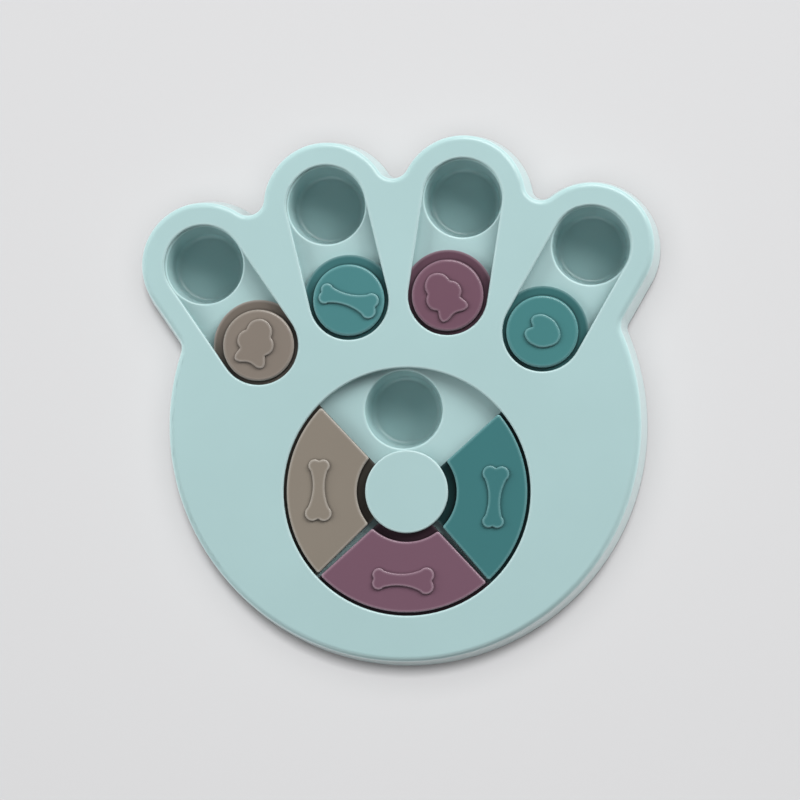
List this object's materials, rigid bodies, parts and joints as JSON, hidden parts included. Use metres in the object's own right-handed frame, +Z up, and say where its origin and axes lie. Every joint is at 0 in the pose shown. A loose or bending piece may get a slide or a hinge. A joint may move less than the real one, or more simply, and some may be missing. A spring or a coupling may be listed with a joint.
{
  "type": "pet puzzle toy",
  "caption": "Flat paw-shaped treat puzzle for a pet: two-part moulded case with round wells, sliding knobs in the toe slots, wedge lids round a hub, and rubber feet.",
  "frame": {"origin": "on the floor, under the middle of the outline", "axes": "+Z up out of the face, +Y towards the toes, +X to the right seen from above"},
  "size_m": [0.2564, 0.2602, 0.0316],
  "materials": {
    "mint": "satin-gloss moulded plastic",
    "taupe": "satin-gloss moulded plastic",
    "plum": "satin-gloss moulded plastic",
    "teal": "satin-gloss moulded plastic",
    "steel": "plain zinc-plated screws",
    "rubber": "matt grey rubber"
  },
  "bodies": {
    "case": {"base_tray": "mint", "top_cover": "mint", "hub_cap": "mint", "hub_screw": "steel", "case_screws": "steel", "foot_1": "rubber", "foot_2": "rubber", "foot_3": "rubber", "foot_4": "rubber", "foot_5": "rubber", "foot_6": "rubber", "foot_7": "rubber", "foot_8": "rubber"},
    "slider_1": {"slider_1_fish": "taupe"},
    "slider_2": {"slider_2_bone": "teal"},
    "slider_3": {"slider_3_fish": "plum"},
    "slider_4": {"slider_4_heart": "teal"},
    "plum_lid": {"lid_plum": "plum"},
    "teal_lid": {"lid_teal": "teal"},
    "taupe_lid": {"lid_taupe": "taupe"}
  },
  "joints": [
    {"name": "slider_1_slide", "type": "slide", "parent": "case", "child": "slider_1", "axis": [-0.5299, 0.848, 0], "range_m": [0, 0.048]},
    {"name": "slider_2_slide", "type": "slide", "parent": "case", "child": "slider_2", "axis": [-0.1942, 0.981, 0], "range_m": [0, 0.048]},
    {"name": "slider_3_slide", "type": "slide", "parent": "case", "child": "slider_3", "axis": [0.1942, 0.981, 0], "range_m": [0, 0.048]},
    {"name": "slider_4_slide", "type": "slide", "parent": "case", "child": "slider_4", "axis": [0.5299, 0.848, 0], "range_m": [0, 0.048]},
    {"name": "plum_lid_turn", "type": "hinge", "parent": "case", "child": "plum_lid", "pos_m": [0, -0.04475, 0.026], "axis": [0, 0, 1], "continuous": true},
    {"name": "teal_lid_turn", "type": "hinge", "parent": "plum_lid", "child": "teal_lid", "pos_m": [0, -0.04475, 0.026], "axis": [0, 0, 1], "range_deg": [0, 94]},
    {"name": "taupe_lid_turn", "type": "hinge", "parent": "plum_lid", "child": "taupe_lid", "pos_m": [0, -0.04475, 0.026], "axis": [0, 0, 1], "range_deg": [-94, 0]}
  ]
}
